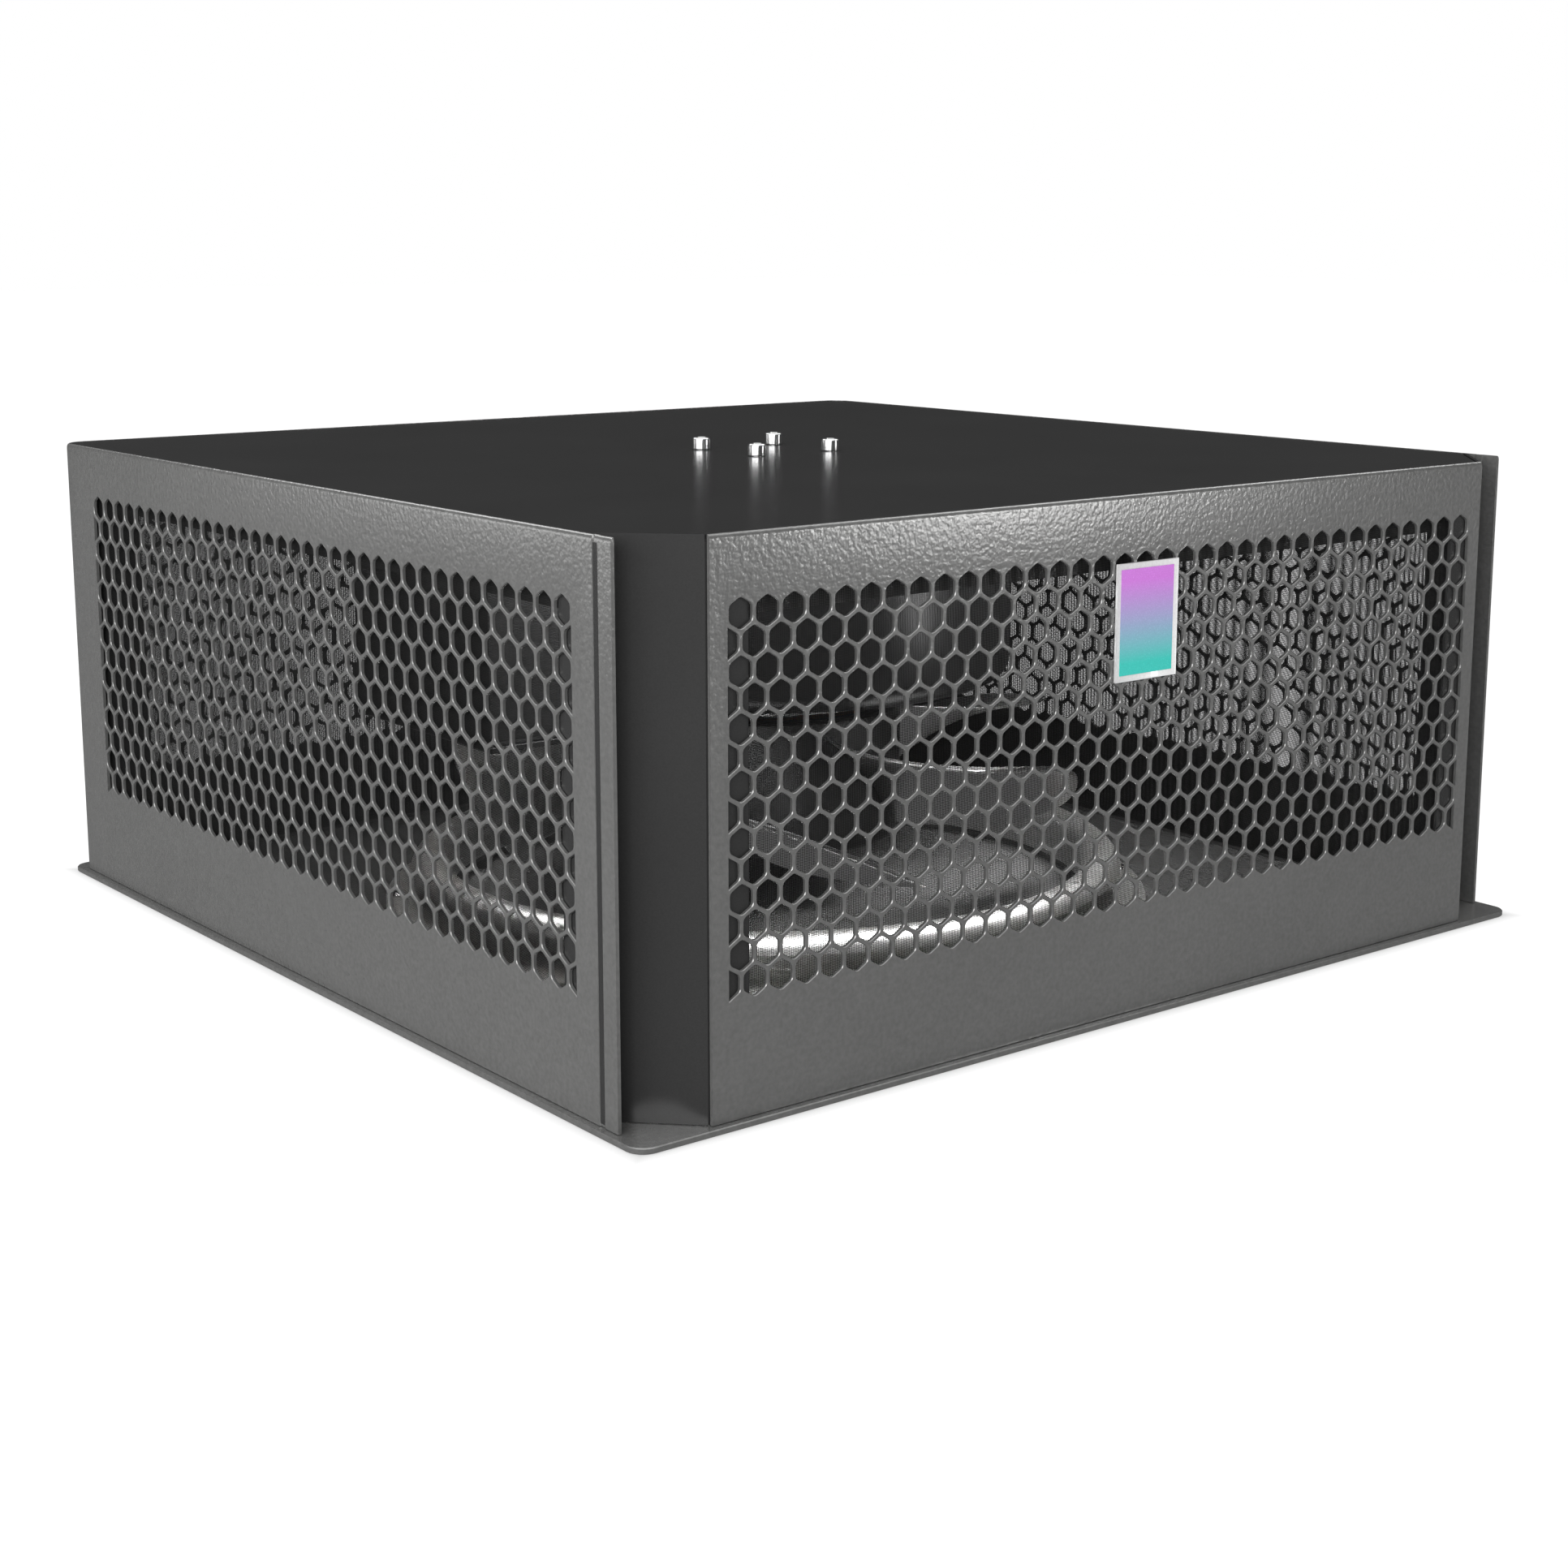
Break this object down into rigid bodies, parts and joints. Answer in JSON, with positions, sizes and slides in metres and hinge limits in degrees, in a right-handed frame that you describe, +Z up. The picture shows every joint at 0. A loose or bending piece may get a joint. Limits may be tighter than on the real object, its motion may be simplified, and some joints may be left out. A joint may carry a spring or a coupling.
{
  "type": "cabinet ventilation fan",
  "caption": "Flat square ventilation fan: honeycomb-punched side panels, dark lid and front corner posts, base plate with round inlet, external-rotor motor and a turning impeller.",
  "frame": {"origin": "centre of the base plate's underside", "axes": "+Z up along the impeller's axis, -Y out of the front panel that carries the badge, +X to the right of somebody facing that panel"},
  "size_m": [0.5066, 0.5066, 0.2241],
  "materials": {
    "panel_grey": "satin metallic grey, fine grain",
    "dark_paint": "satin anthracite",
    "badge": "printed geometric plate, no text",
    "galvanised": "satin, galvanised look",
    "fastener_steel": "zinc plated",
    "motor_black": "satin black",
    "gauze_black": "black-coated fine woven wire",
    "hub_black": "matte black moulding",
    "blade_metal": "satin",
    "cast_aluminium": "as cast",
    "lamination": "stacked laminations",
    "copper": "varnished copper wire",
    "bearing_steel": "ground",
    "black_plastic": "matte moulded",
    "rubber": "matte",
    "white_plastic": "matte"
  },
  "bodies": {
    "housing": {"badge_plate": "badge", "base_plate": "panel_grey", "bearing_lower": "bearing_steel", "bearing_upper": "bearing_steel", "corner_post_left": "dark_paint", "corner_post_right": "dark_paint", "earth_nut": "fastener_steel", "earth_stud": "fastener_steel", "front_panel": "panel_grey", "inlet_ring": "galvanised", "inlet_ring_screw_1": "fastener_steel", "inlet_ring_screw_2": "fastener_steel", "inlet_ring_screw_3": "fastener_steel", "inlet_ring_screw_4": "fastener_steel", "inlet_ring_screw_5": "fastener_steel", "inlet_ring_screw_6": "fastener_steel", "insect_screen": "gauze_black", "motor_bell": "motor_black", "motor_gland": "black_plastic", "motor_lead": "rubber", "motor_screw_1": "fastener_steel", "motor_screw_2": "fastener_steel", "motor_screw_3": "fastener_steel", "motor_screw_4": "fastener_steel", "motor_screw_nut_1": "fastener_steel", "motor_screw_nut_2": "fastener_steel", "motor_screw_nut_3": "fastener_steel", "motor_screw_nut_4": "fastener_steel", "stator_core": "lamination", "stator_flange": "cast_aluminium", "stator_flange_screw_1": "fastener_steel", "stator_flange_screw_2": "fastener_steel", "stator_flange_screw_3": "fastener_steel", "stator_flange_screw_4": "fastener_steel", "supply_gland": "black_plastic", "terminal_block": "white_plastic", "terminal_box": "black_plastic", "terminal_box_lid": "black_plastic", "terminal_box_lid_screw_1": "fastener_steel", "terminal_box_lid_screw_2": "fastener_steel", "terminal_box_lid_screw_3": "fastener_steel", "terminal_box_lid_screw_4": "fastener_steel", "terminal_box_seal": "rubber", "top_plate": "dark_paint", "winding_lower": "copper", "winding_upper": "copper", "wrap_panel": "panel_grey"},
    "rotor": {"impeller_blade_1": "blade_metal", "impeller_blade_2": "blade_metal", "impeller_blade_3": "blade_metal", "impeller_blade_4": "blade_metal", "impeller_blade_5": "blade_metal", "impeller_hub": "hub_black", "impeller_hub_screw_1": "fastener_steel", "impeller_hub_screw_2": "fastener_steel", "impeller_hub_screw_3": "fastener_steel", "impeller_hub_screw_4": "fastener_steel", "motor_shaft": "bearing_steel", "rotor_can": "motor_black", "rotor_ring": "lamination"}
  },
  "joints": [
    {"name": "impeller_spin", "type": "hinge", "parent": "housing", "child": "rotor", "pos_m": [0, 0, 0.06], "axis": [0, 0, 1], "continuous": true}
  ]
}
